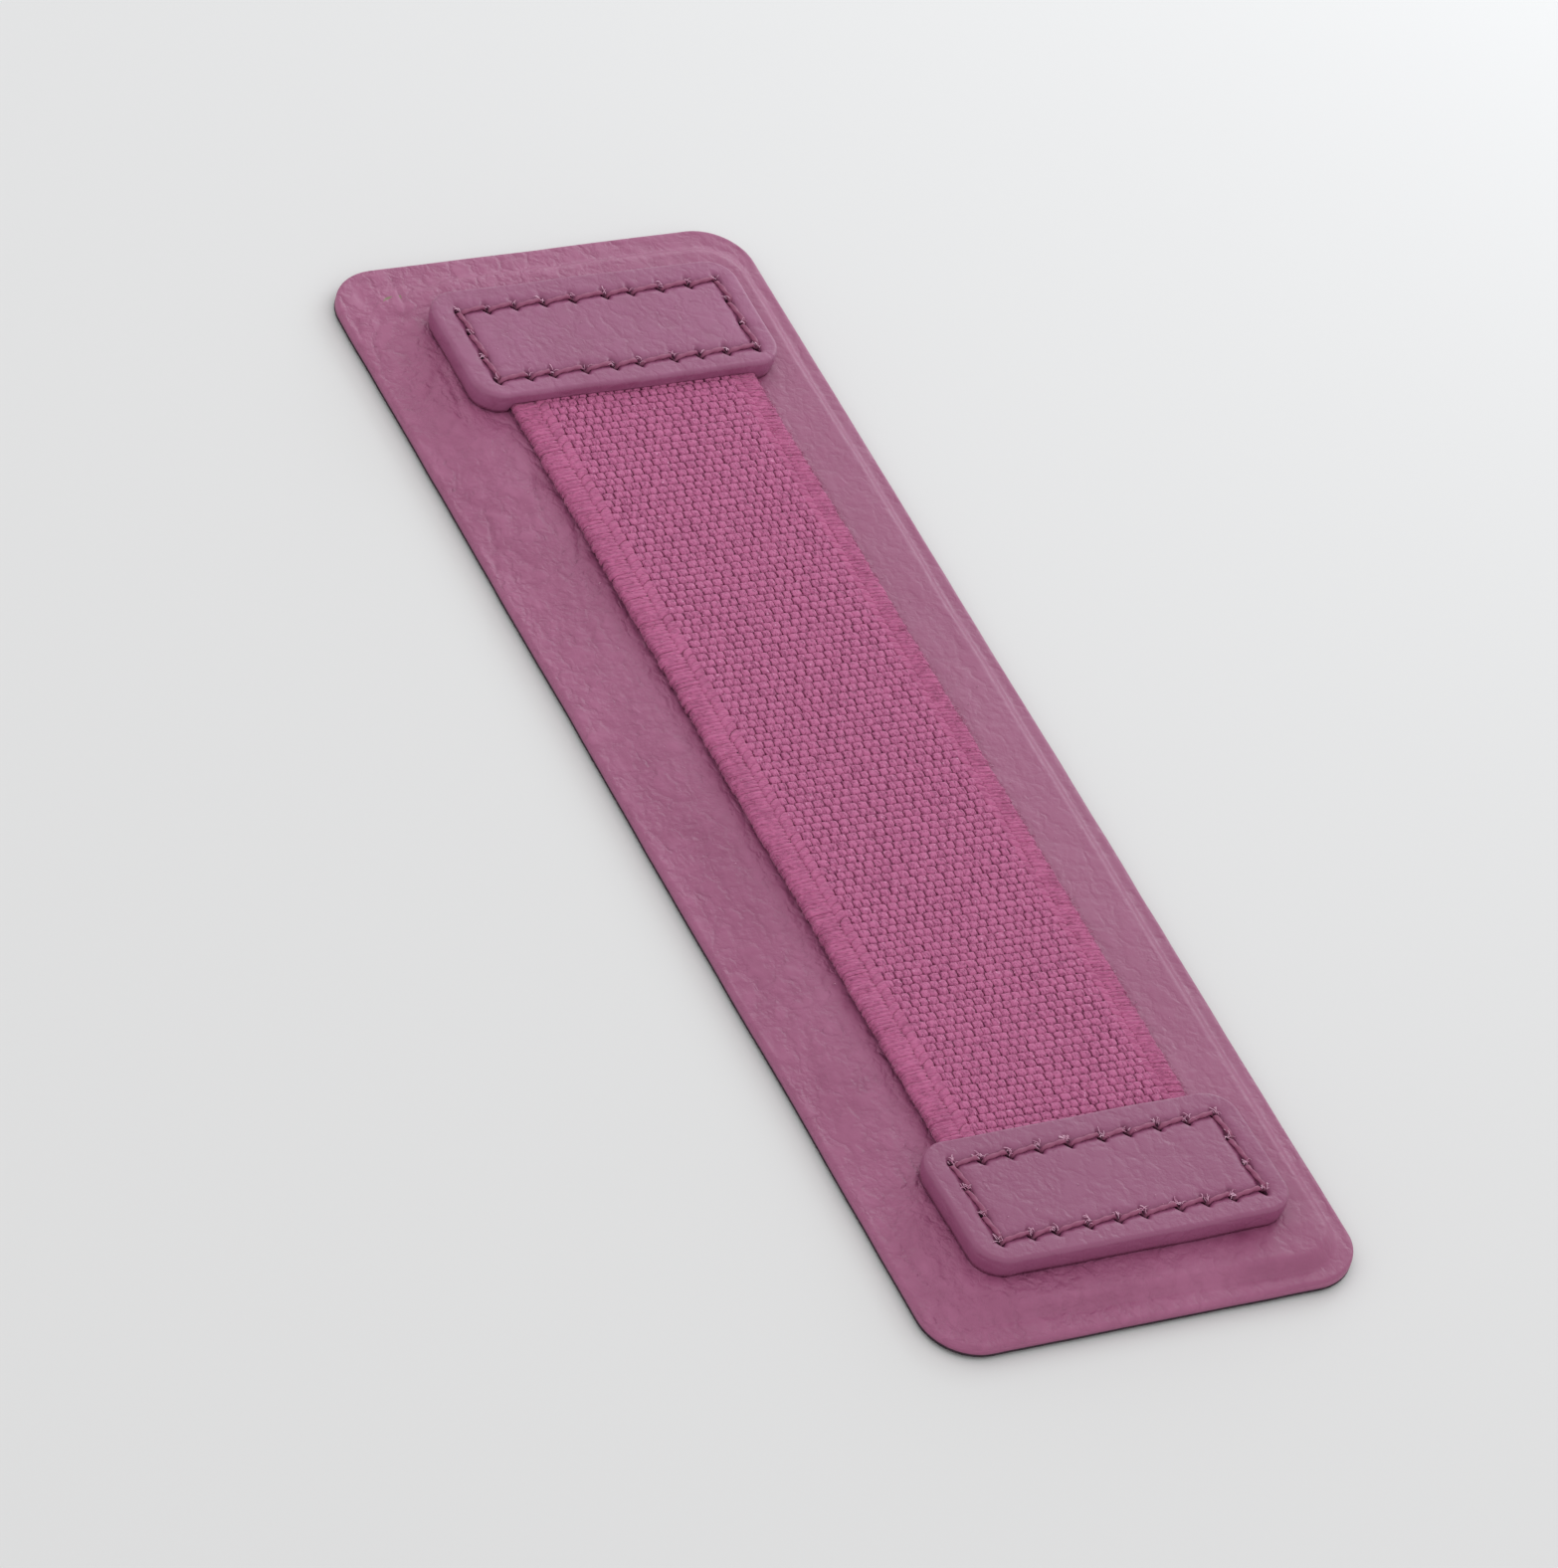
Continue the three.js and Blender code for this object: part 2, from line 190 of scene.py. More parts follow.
# Light and floor: lengths in metres, power in watts, the lamps' tint in linear light
FLOOR_REACH = 3.0
WORLD_STRENGTH = 0.86
LAMP_COLOUR = (0.9, 0.95, 1.0)
LAMPS = {
    "key": {"toward": (0.8, 0.42, 0.42), "distance": 0.22, "size": 0.1, "power": 0.065},
    "rim": {"toward": (0.62, 0.74, 0.2), "distance": 0.26, "size": 0.17, "power": 0.14},
}


# Noise


def lattice(ix, iy, seed):
    """A fixed value from 0 to 1 for each pair of numbers and seed."""
    value = np.sin(ix * 127.1 + iy * 311.7 + seed * 74.7) * 43758.5453
    return value - np.floor(value)


def wave_noise(x, y, seed):
    """Smooth noise from -1 to 1 with features about one unit across."""
    ix, iy = np.floor(x), np.floor(y)
    fx, fy = x - ix, y - iy
    ux, uy = fx * fx * (3 - 2 * fx), fy * fy * (3 - 2 * fy)
    low = lattice(ix, iy, seed) * (1 - ux) + lattice(ix + 1, iy, seed) * ux
    high = lattice(ix, iy + 1, seed) * (1 - ux) + lattice(ix + 1, iy + 1, seed) * ux
    return 2 * (low * (1 - uy) + high * uy) - 1


def creases(x, y, angle, length, width, seed, sharp=0.18):
    """Thin valleys from 0 to 1 deep, drawn out along an angle measured from +X."""
    c, s = math.cos(math.radians(angle)), math.sin(math.radians(angle))
    along, across = (c * x + s * y) / length, (-s * x + c * y) / width
    bend = 0.6 * wave_noise(along * 1.7, across * 0.8, seed + 5)
    ridge = 1 - np.abs(wave_noise(along, across + bend, seed)) / sharp
    presence = np.clip(0.5 + wave_noise(along * 0.9 + 3, across * 0.5, seed + 9), 0, 1)
    return np.clip(ridge, 0, 1) ** 1.5 * presence


def smoothstep(low, high, value):
    t = np.clip((value - low) / (high - low), 0, 1)
    return t * t * (3 - 2 * t)


# Meshes


def mesh_object(name, points, faces, materials, face_slots=None):
    """A smooth object from points in mm and faces of point numbers."""
    mesh = bpy.data.meshes.new(name)
    mesh.from_pydata((np.asarray(points, dtype=float) * MM).tolist(), [], faces)
    for material in materials:
        mesh.materials.append(material)
    mesh.polygons.foreach_set("use_smooth", [True] * len(faces))
    if face_slots is not None:
        mesh.polygons.foreach_set("material_index", face_slots)
    mesh.update()
    piece = bpy.data.objects.new(name, mesh)
    bpy.context.scene.collection.objects.link(piece)
    return piece


def finish_piece(piece, replaced=()):
    """Every piece rides on the root; `replaced` are the CAD nodes that it stands for."""
    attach(piece, "root")
    if replaced:
        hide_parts(*replaced)
    return piece


def grid_faces(rows, columns, wrap=False, start=0):
    """Quads of a grid of points stored row by row; wrap closes each row on itself."""
    j, i = np.meshgrid(np.arange(rows - 1), np.arange(columns if wrap else columns - 1), indexing="ij")
    right = (i + 1) % columns
    this_row, next_row = j * columns, (j + 1) * columns
    quads = np.stack([this_row + i, this_row + right, next_row + right, next_row + i], -1)
    return (quads.reshape(-1, 4) + start).tolist()


def tube(rings, closed, start=0):
    """Faces of a tube whose rings are stored one after another, capped unless it closes on itself."""
    count, sides = rings.shape[:2]
    faces = grid_faces(count, sides, wrap=True, start=start)
    last = (count - 1) * sides
    if closed:
        ends = [[start + last + i, start + last + (i + 1) % sides, start + (i + 1) % sides, start + i]
                for i in range(sides)]
        return faces + ends
    first_cap = [start + i for i in reversed(range(sides))]
    last_cap = [start + last + i for i in range(sides)]
    return faces + [first_cap, last_cap]


class Plate:
    """A grid over a rounded rectangle, with each point's inset from the outline."""

    def __init__(self, width, length, corner, step, corner_rows):
        half_w, half_l = width / 2, length / 2
        turn = np.sin(np.radians(np.linspace(0, 90, corner_rows)))
        end_rows = half_l - corner + corner * turn
        middle = np.linspace(0, half_l - corner, max(2, int((half_l - corner) / step)))[:-1]
        rows = np.concatenate([middle, end_rows])
        rows = np.concatenate([-rows[:0:-1], rows])
        near_edge = (half_w - np.array(EDGE_INSETS))[::-1]
        inner = np.linspace(0, half_w - INNER_INSET, int(half_w / step))
        reach = np.concatenate([inner, near_edge])
        reach = np.concatenate([-reach[:0:-1], reach])
        past = np.clip(np.abs(rows) - (half_l - corner), 0, corner)
        row_half = half_w - corner + np.sqrt(corner**2 - past**2)
        self.x = reach[None, :] * (row_half / half_w)[:, None]
        self.y = np.repeat(rows[:, None], len(reach), 1)
        qx = np.abs(self.x) - (half_w - corner)
        qy = np.abs(self.y) - (half_l - corner)
        out_x, out_y = np.clip(qx, 0, None), np.clip(qy, 0, None)
        away = np.hypot(out_x, out_y)
        self.inset = np.clip(corner - away - np.minimum(np.maximum(qx, qy), 0), 0, None)
        self.out_x = np.sign(self.x) * out_x / np.maximum(away, 1e-9)
        self.out_y = np.sign(self.y) * out_y / np.maximum(away, 1e-9)
        self.shape = self.x.shape
        r, c = self.shape
        ids = np.arange(r * c).reshape(r, c)
        self.rim = np.concatenate([ids[0, :], ids[1:, -1], ids[-1, -2::-1], ids[-2:0:-1, 0]])

    def solid(self, z, rings):
        """Points and faces of a closed solid: the top at z, then rings of points down and under."""
        points = np.stack([self.x, self.y, z], -1).reshape(-1, 3)
        faces = grid_faces(*self.shape)
        top_faces = len(faces)
        previous = self.rim
        count = len(self.rim)
        for ring in rings:
            ids = np.arange(len(points), len(points) + count)
            points = np.concatenate([points, ring])
            nxt = np.roll(np.arange(count), -1)
            faces += np.stack([ids, ids[nxt], previous[nxt], previous], -1).tolist()
            previous = ids
        faces.append(previous[::-1].tolist())
        return points, faces, top_faces


# Materials


def linear(colour):
    """A colour written as 0 to 255 sRGB, as Blender's linear RGBA."""
    parts = [c / 255 for c in colour]
    parts = [c / 12.92 if c <= 0.04045 else ((c + 0.055) / 1.055) ** 2.4 for c in parts]
    return (*parts, 1.0)


class Surface:
    """A Principled material and short calls for the nodes that feed it."""

    def __init__(self, name, roughness, specular=0.5, sheen=0.0):
        self.material = bpy.data.materials.new(name)
        self.material.use_nodes = True
        self.nodes = self.material.node_tree.nodes
        self.links = self.material.node_tree.links
        self.shader = self.nodes["Principled BSDF"]
        self.shader.inputs["Roughness"].default_value = roughness
        self.shader.inputs["Specular IOR Level"].default_value = specular
        self.shader.inputs["Sheen Weight"].default_value = sheen
        self.place = self.nodes.new("ShaderNodeTexCoord").outputs["Object"]

    def scaled(self, per_mm, turn=0.0):
        """Object coordinates in units per mm along X, Y and Z, turned about Z in degrees."""
        mapping = self.nodes.new("ShaderNodeMapping")
        mapping.vector_type = "POINT"
        mapping.inputs["Rotation"].default_value = (0, 0, math.radians(turn))
        mapping.inputs["Scale"].default_value = [s / MM for s in per_mm]
        self.links.new(self.place, mapping.inputs["Vector"])
        return mapping.outputs["Vector"]

    def noise(self, per_mm, detail=3.0, turn=0.0):
        node = self.nodes.new("ShaderNodeTexNoise")
        node.inputs["Scale"].default_value = 1.0
        node.inputs["Detail"].default_value = detail
        self.links.new(self.scaled(per_mm, turn), node.inputs["Vector"])
        return node.outputs["Fac"]

    def wandering(self, reach):
        """Object coordinates that stray by up to `reach` mm, so that patterns lose their regularity."""
        noise = self.nodes.new("ShaderNodeTexNoise")
        noise.inputs["Scale"].default_value = 1.1 / MM
        noise.inputs["Detail"].default_value = 3
        self.links.new(self.place, noise.inputs["Vector"])
        centred = self.nodes.new("ShaderNodeVectorMath")
        centred.operation = "SUBTRACT"
        self.links.new(noise.outputs["Color"], centred.inputs[0])
        centred.inputs[1].default_value = (0.5, 0.5, 0.5)
        grown = self.nodes.new("ShaderNodeVectorMath")
        grown.operation = "SCALE"
        self.links.new(centred.outputs["Vector"], grown.inputs[0])
        grown.inputs["Scale"].default_value = 2 * reach * MM
        moved = self.nodes.new("ShaderNodeVectorMath")
        moved.operation = "ADD"
        self.links.new(self.place, moved.inputs[0])
        self.links.new(grown.outputs["Vector"], moved.inputs[1])
        return moved.outputs["Vector"]

    def creases(self, per_mm, width, turn=0.0, reach=0.5):
        """0 along a network of creases and 1 between them; width is in units of one cell."""
        mapping = self.nodes.new("ShaderNodeMapping")
        mapping.inputs["Rotation"].default_value = (0, 0, math.radians(turn))
        mapping.inputs["Scale"].default_value = [s / MM for s in per_mm]
        self.links.new(self.wandering(reach), mapping.inputs["Vector"])
        node = self.nodes.new("ShaderNodeTexVoronoi")
        node.feature = "DISTANCE_TO_EDGE"
        node.inputs["Scale"].default_value = 1.0
        self.links.new(mapping.outputs["Vector"], node.inputs["Vector"])
        return self.spread(node.outputs["Distance"], 0.0, width)

    def spread(self, value, low, high, to_low=0.0, to_high=1.0):
        node = self.nodes.new("ShaderNodeMapRange")
        node.inputs["From Min"].default_value = low
        node.inputs["From Max"].default_value = high
        node.inputs["To Min"].default_value = to_low
        node.inputs["To Max"].default_value = to_high
        self.links.new(value, node.inputs["Value"])
        return node.outputs["Result"]

    def maths(self, operation, a, b):
        node = self.nodes.new("ShaderNodeMath")
        node.operation = operation
        for socket, value in zip(node.inputs, (a, b)):
            if isinstance(value, (int, float)):
                socket.default_value = value
            else:
                self.links.new(value, socket)
        return node.outputs["Value"]

    def blend(self, factor, first, second):
        node = self.nodes.new("ShaderNodeMix")
        node.data_type = "RGBA"
        self.links.new(factor, node.inputs["Factor"])
        for socket, colour in ((node.inputs["A"], first), (node.inputs["B"], second)):
            if isinstance(colour, tuple):
                socket.default_value = linear(colour)
            else:
                self.links.new(colour, socket)
        return node.outputs["Result"]

    def along(self, axis):
        """The object coordinate along X, Y or Z, in metres."""
        node = self.nodes.new("ShaderNodeSeparateXYZ")
        self.links.new(self.place, node.inputs["Vector"])
        return node.outputs[axis]

    def colour(self, output):
        self.links.new(output, self.shader.inputs["Base Color"])

    def roughness(self, output):
        self.links.new(output, self.shader.inputs["Roughness"])

    def bumps(self, *layers):
        """Each layer is (height, depth in mm, strength)."""
        normal = None
        for height, depth, strength in layers:
            node = self.nodes.new("ShaderNodeBump")
            node.inputs["Distance"].default_value = depth * MM
            node.inputs["Strength"].default_value = strength
            self.links.new(height, node.inputs["Height"])
            if normal is not None:
                self.links.new(normal, node.inputs["Normal"])
            normal = node.outputs["Normal"]
        self.links.new(normal, self.shader.inputs["Normal"])


def leather_material(name, colour, deep, left_grain, right_grain, deeper):
    """Satin leather; the two grains scale the depth of its creases left and right of the band.

    Its tone deepens along an axis, in place of light that falls off: `deeper` is (axis, start, end) in mm.
    """
    s = Surface(name, 0.45, specular=0.5)
    patch = s.noise((0.12, 0.08, 0.12), 4)
    mottle = s.noise((1.1, 0.8, 1.1), 5)
    wide = s.creases((0.6, 0.36, 0.6), 0.2, 14, 0.9)
    narrow = s.creases((1.5, 1.0, 1.5), 0.3, -20, 0.4)
    where = s.spread(s.noise((0.3, 0.22, 0.3), 2), 0.38, 0.6)
    pores = s.noise((6.0, 5.0, 6.0), 3)
    tone = s.maths("ADD", s.maths("MULTIPLY", patch, 0.6), s.maths("MULTIPLY", mottle, 0.4))
    # The wide crease network also darkens the tone into its creases: painted shade in the creases
    tone = s.maths("MULTIPLY", s.spread(tone, 0.34, 0.6), s.spread(wide, 0.0, 1.0, 0.7, 1.0))
    axis, start, end = deeper
    tone = s.maths("MULTIPLY", tone, s.spread(s.along(axis), start * MM, end * MM, 1.0, 0.35))
    s.colour(s.blend(tone, deep, colour))
    s.roughness(s.spread(mottle, 0.3, 0.7, 0.4, 0.54))
    grain = s.spread(s.along("X"), -8 * MM, 10 * MM, left_grain, right_grain)
    fine = s.maths("MULTIPLY", narrow, where)
    wide, fine, soft = (s.maths("MULTIPLY", part, grain) for part in (wide, fine, mottle))
    s.bumps((wide, 0.05, 0.6), (fine, 0.03, 0.6), (soft, 0.1, 0.4), (pores, 0.01, 0.35))
    return s.material


def edge_material():
    s = Surface("leather_edge", 0.6, specular=0.35)
    fibre = s.noise((3.0, 3.0, 9.0), 4)
    s.colour(s.blend(fibre, LEATHER_EDGE_DEEP, LEATHER_EDGE))
    s.bumps((fibre, 0.03, 0.5))
    return s.material


def yarn_material():
    s = Surface("yarn", 0.7, specular=0.25, sheen=0.1)
    s.shader.inputs["Sheen Roughness"].default_value = 0.5
    # The colour darkens below the crest: painted shade down between the grains, on top of the fibres' random
    # tone
    depth = s.spread(s.along("Z"), (BAND_CREST - 0.26) * MM, (BAND_CREST - 0.04) * MM)
    fibres = s.noise((8.0, 2.4, 4.0), 3, -20)
    tufts = s.noise((1.9, 1.9, 1.0), 2)
    tips = s.noise((9.0, 5.0, 9.0), 2, 35)
    shade = s.maths("ADD", depth, s.spread(fibres, 0.3, 0.7, -0.35, 0.3))
    shade = s.maths("ADD", shade, s.spread(tufts, 0.3, 0.7, -0.15, 0.12))
    shade = s.maths("ADD", shade, s.spread(tips, 0.3, 0.7, -0.55, 0.42))
    # Rare bright specks mixed into the colour: painted glints
    painted_glint = s.spread(s.noise((4.3, 4.3, 4.3), 3), 0.66, 0.74)
    s.colour(s.blend(painted_glint, s.blend(shade, YARN_DEEP, YARN_COLOUR), YARN_PAINTED_GLINT))
    s.bumps((fibres, 0.08, 0.9), (tips, 0.07, 0.8))
    return s.material


def selvage_material():
    s = Surface("selvage", 0.85, specular=0.15, sheen=0.15)
    s.shader.inputs["Sheen Roughness"].default_value = 0.5
    fibres = s.noise((3.0, 9.0, 6.0), 4, 12)
    patch = s.noise((0.9, 0.5, 0.9), 2)
    # The colour darkens lower down the band's edges: painted shade, on top of the fibres' random tone
    depth = s.spread(s.along("Z"), 1.8 * MM, 2.55 * MM, -0.2, 0.7)
    shade = s.maths("ADD", depth, s.spread(fibres, 0.3, 0.7, -0.3, 0.3))
    shade = s.maths("ADD", shade, s.spread(patch, 0.3, 0.7, 0.0, 0.3))
    s.colour(s.blend(shade, SELVAGE_DEEP, SELVAGE_COLOUR))
    s.bumps((fibres, 0.12, 1.0))
    return s.material


def thread_material():
    s = Surface("thread", 0.5, specular=0.4)
    fibres = s.noise((10.0, 10.0, 10.0), 2)
    # The thread darkens where it dives towards the holes: painted shade
    depth = s.spread(s.along("Z"), 3.0 * MM, 3.3 * MM)
    s.colour(s.blend(depth, THREAD_DEEP, THREAD_COLOUR))
    s.bumps((fibres, 0.02, 0.4))
    return s.material


def plain_material(name, first, second, per_mm, roughness, depth):
    """A matt material that mottles finely between two colours; depth is its relief in mm."""
    s = Surface(name, roughness, specular=0.3)
    grain = s.noise(per_mm, 5)
    s.colour(s.blend(s.spread(grain, 0.35, 0.65), first, second))
    s.bumps((grain, depth, 0.5))
    return s.material


# Base


def wander(along, seed):
    """How far a hand-cut edge strays from straight, in mm."""
    level = np.zeros_like(along)
    long_waves = wave_noise(along / 9, level, seed)
    short_waves = wave_noise(along / 2.6, level, seed + 1)
    return OUTLINE_WANDER * (0.7 * long_waves + 0.3 * short_waves)


def base_plate(inset):
    """The base's grid, with its hand-cut outline: the sides lean a little and the lower edge more."""
    low, high = (np.array(corner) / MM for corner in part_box("base_cover"))
    width, length = (high - low)[:2] - 2 * inset
    plate = Plate(width, length, BASE_CORNER - inset, BASE_STEP, BASE_CORNER_ROWS)
    edge = 1 - np.clip(plate.inset / 3, 0, 1)
    near_low_end = smoothstep(-length / 2 + 9, -length / 2, plate.y)
    plate.x = plate.x + np.sign(plate.x) * edge * wander(plate.y, 3 + np.sign(plate.x))
    plate.y = plate.y + np.sign(plate.y) * edge * wander(plate.x, 13 + np.sign(plate.y))
    plate.x = plate.x + BASE_LEAN * plate.y * np.abs(plate.x) / (width / 2)
    plate.y = plate.y + LOWER_EDGE_LEAN * plate.x * near_low_end
    return plate


def panel_rise(plate):
    """How far the cover has risen from rim to panel, 0 to 1; each side has its own rim and step."""
    low, high = (np.array(corner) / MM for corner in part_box("base_cover"))
    x = plate.x + 0.1 * wave_noise(plate.x / 6, plate.y / 6, 61)
    y = plate.y + 0.1 * wave_noise(plate.x / 6, plate.y / 6, 62)
    x = x + RIGHT_STEP_LEAN * (plate.y + 40) * smoothstep(0, 10, plate.x)

    def depth_inside(left, right, lower, upper):
        middle_x, middle_y = (low[0] + left + high[0] - right) / 2, (low[1] + lower + high[1] - upper) / 2
        half_x, half_y = (high[0] - right - low[0] - left) / 2, (high[1] - upper - low[1] - lower) / 2
        qx, qy = np.abs(x - middle_x) - half_x + STEP_CORNER, np.abs(y - middle_y) - half_y + STEP_CORNER
        away = np.hypot(np.clip(qx, 0, None), np.clip(qy, 0, None))
        return STEP_CORNER - away - np.minimum(np.maximum(qx, qy), 0)

    past_foot = depth_inside(*RIM_WIDTHS)
    past_top = depth_inside(*(rim + step for rim, step in zip(RIM_WIDTHS, STEP_WIDTHS)))
    share = past_foot / np.maximum(past_foot - past_top, 0.1)
    return smoothstep(0, 1, np.where(past_foot > 0, share, 0))


def leather_relief(x, y):
    """Height of the leather's soft unevenness and creases on the panel and rim, in mm."""
    soft = 0.035 * wave_noise(x / 5.5, y / 9, 21) + 0.02 * wave_noise(x / 2.1, y / 3, 22)
    left = smoothstep(-7.5, -9.5, x)
    rim = smoothstep(42, 47, np.abs(y))
    left = left * (0.6 + 0.8 * smoothstep(0, 30, y))
    lines = 0.12 * creases(x, y, 78, 5.5, 1.3, 31, 0.3) * (0.15 + left)
    lines = lines + 0.1 * creases(x, y, 40, 3.0, 1.3, 41, 0.3) * (0.12 + left)
    lines = lines + 0.035 * creases(x, y, 105, 2.2, 0.9, 51, 0.35) * (0.4 + 0.6 * rim)
    pebbles = 0.03 * wave_noise(x / 0.9, y / 0.7, 55) * rim
    valley = VALLEY_DEPTH * np.exp(-(((y - VALLEY_Y) / VALLEY_HALF_WIDTH) ** 2))
    valley = valley * smoothstep(-13.5, -11, x) * smoothstep(13.5, 12, x)
    return soft - lines + pebbles - valley


def base_cover(leather, edge):
    """The leather cover: a rounded edge, the rim, the soft step and the panel."""
    plate = base_plate(0)
    short = np.clip(RIM_EDGE_ROUND - plate.inset, 0, None)
    round_off = RIM_EDGE_ROUND - np.sqrt(np.clip(RIM_EDGE_ROUND**2 - short**2, 0, None))
    z = RIM_TOP - round_off
    rise = panel_rise(plate)
    z = z + (PANEL_TOP - RIM_TOP) * rise
    z = z + leather_relief(plate.x, plate.y) * smoothstep(0, 0.6, plate.inset)
    rim_x, rim_y = plate.x.ravel()[plate.rim], plate.y.ravel()[plate.rim]
    lower = np.stack([rim_x, rim_y, np.full_like(rim_x, LINING_TOP)], -1)
    points, faces, top_faces = plate.solid(z, [lower])
    slots = [0] * top_faces + [1] * (len(faces) - top_faces)
    piece = mesh_object("leather_cover", points, faces, [leather, edge], slots)
    return finish_piece(piece, ["base_cover"])


def base_sheet(name, node, material, inset, bottom, top):
    """A flat layer under the cover."""
    plate = base_plate(inset)
    rim_x, rim_y = plate.x.ravel()[plate.rim], plate.y.ravel()[plate.rim]
    upper = np.stack([rim_x, rim_y, np.full_like(rim_x, top)], -1)
    lower = np.stack([rim_x, rim_y, np.full_like(rim_x, bottom)], -1)
    count = len(rim_x)
    ids = np.arange(count)
    nxt = np.roll(ids, -1)
    faces = np.stack([ids + count, nxt + count, nxt, ids], -1).tolist()
    faces += [ids.tolist(), (ids[::-1] + count).tolist()]
    piece = mesh_object(name, np.concatenate([upper, lower]), faces, [material])
    piece.data.polygons.foreach_set("use_smooth", [False] * len(faces))
    return finish_piece(piece, [node])


# Elastic band


def weave_span():
    """The band's woven stretch along Y, from just under one tab to just under the other, in mm."""
    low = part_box("lower_tab")[1][1] / MM - UNDER_TAB
    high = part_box("upper_tab")[0][1] / MM + UNDER_TAB
    return low, high


def pick_places():
    low, high = weave_span()
    count = int(round((high - low) / PICK_PITCH))
    return low + (np.arange(count) + 0.5) * (high - low) / count


def yarn_rings(x, half_width, phase, picks, seed):
    """Rings of one lengthwise yarn that rises over every other pick."""
    pitch = picks[1] - picks[0]
    crest_steps = np.array([-0.46, -0.32, -0.12, 0.12, 0.32, 0.46])
    trough_steps = np.array([-0.2, 0.2])
    stations = []
    for n, y in enumerate(picks):
        steps = crest_steps if (n + phase) % 2 == 0 else trough_steps
        stations += [(n, y + s * pitch, s) for s in steps]
    number = np.array([s[0] for s in stations])
    y = np.array([s[1] for s in stations])
    lift = np.cos(np.pi * (y - picks[0]) / pitch) * (1 if phase == 0 else -1)
    fullness = np.clip(lift, 0, 1) ** 0.22
    rough = lattice(number.astype(float), np.full_like(y, x * 3.7), seed)
    rough_side = lattice(number + 50.0, np.full_like(y, x * 3.7), seed + 1)
    sway = lattice(number + 99.0, np.full_like(y, x * 3.7), seed + 2)
    centre_z = YARN_MIDDLE + YARN_SWING * np.tanh(3.2 * lift) + 0.02 * (rough - 0.5) * fullness
    centre_x = x + 0.05 * (sway - 0.5) * fullness
    wide = CROSSING_HALF_WIDTH + (half_width * (0.94 + 0.16 * rough_side) - CROSSING_HALF_WIDTH) * fullness
    thick = CROSSING_HALF_THICKNESS + (YARN_HALF_THICKNESS - CROSSING_HALF_THICKNESS) * fullness
    angle = 2 * np.pi * (np.arange(YARN_SIDES) + 0.5) / YARN_SIDES
    square_x, square_z = (np.sign(part) * np.abs(part) ** 0.75 for part in (np.cos(angle), np.sin(angle)))
    ring_x = centre_x[:, None] + wide[:, None] * square_x[None, :]
    ring_z = centre_z[:, None] + thick[:, None] * square_z[None, :]
    skew = 0.2 * pitch * fullness * (sway - 0.5)
    ring_y = y[:, None] + skew[:, None] * np.cos(angle)[None, :]
    return np.stack([ring_x, ring_y, ring_z], -1)


def warp_yarns(material):
    """The woven face: yarns in groups of three, as the reed spaced them, in two pieces."""
    picks = pick_places()
    dent_pitch = WEAVE_WIDTH / DENT_COUNT
    halves = []
    for half in range(2):
        points, faces = [], []
        total = 0
        for dent in range(half * DENT_COUNT // 2, (half + 1) * DENT_COUNT // 2):
            dent_x = WEAVE_CENTRE_X + (dent - (DENT_COUNT - 1) / 2) * dent_pitch
            for k in (-1, 0, 1):
                yarn = dent * 3 + k + 1
                width = SINGLE_HALF_WIDTH if k == 0 else PAIR_HALF_WIDTH
                rings = yarn_rings(dent_x + k * YARN_PITCH, width, yarn % 2, picks, 7)[:, ::-1]
                faces += tube(rings, closed=False, start=total)
                points.append(rings.reshape(-1, 3))
                total += rings.shape[0] * rings.shape[1]
        piece = mesh_object(("warp_left", "warp_right")[half], np.concatenate(points), faces, [material])
        halves.append(finish_piece(piece))
    return halves


def band_core(material):
    """The crosswise picks and rubber inside the band: a ribbed slab that closes it under the yarns."""
    low, high = (np.array(corner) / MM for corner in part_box("elastic_band"))
    picks = pick_places()
    pitch = picks[1] - picks[0]
    ribs = (picks[:, None] + np.array([-0.5, -0.3, 0.0, 0.3])[None, :] * pitch).ravel()
    rise = np.tile([0.0, 0.08, 0.12, 0.08], len(picks))
    y = np.concatenate([[low[1], ribs[0] - 0.01], ribs, [ribs[-1] + 0.3 * pitch, high[1]]])
    top = np.concatenate([[CORE_TOP] * 2, CORE_TOP + rise, [CORE_TOP] * 2])
    left, right = low[0] + 0.2, high[0] - 0.2
    middle = (PANEL_TOP + CORE_TOP) / 2
    section = []
    for side_y, side_z in zip(y, top):
        outline = [(left + 0.2, PANEL_TOP), (right - 0.2, PANEL_TOP), (right, middle), (right - 0.3, side_z),
                   (left + 0.3, side_z), (left, middle)]
        section.append([[x, side_y, z] for x, z in outline])
    rings = np.array(section)[:, ::-1]
    piece = mesh_object("band_core", rings.reshape(-1, 3), tube(rings, closed=False), [material])
    piece.data.polygons.foreach_set("use_smooth", [False] * len(piece.data.polygons))
    return finish_piece(piece, ["elastic_band"])


def outward_rings(side, x, y, z, half_y, half_n, count):
    """Rings of a yarn that runs outwards to the band's edge, from its path and half sizes."""
    heading = np.arctan2(np.gradient(z), np.abs(np.gradient(x)) + 1e-6)
    angle = 2 * np.pi * np.arange(count) / count
    ring_x = x[:, None] - side * (half_n * np.sin(heading))[:, None] * np.sin(angle)[None, :]
    ring_z = z[:, None] + (half_n * np.cos(heading))[:, None] * np.sin(angle)[None, :]
    ring_y = y[:, None] + half_y[:, None] * np.cos(angle)[None, :]
    rings = np.stack([ring_x, ring_y, ring_z], -1)
    return rings if side < 0 else rings[:, ::-1]


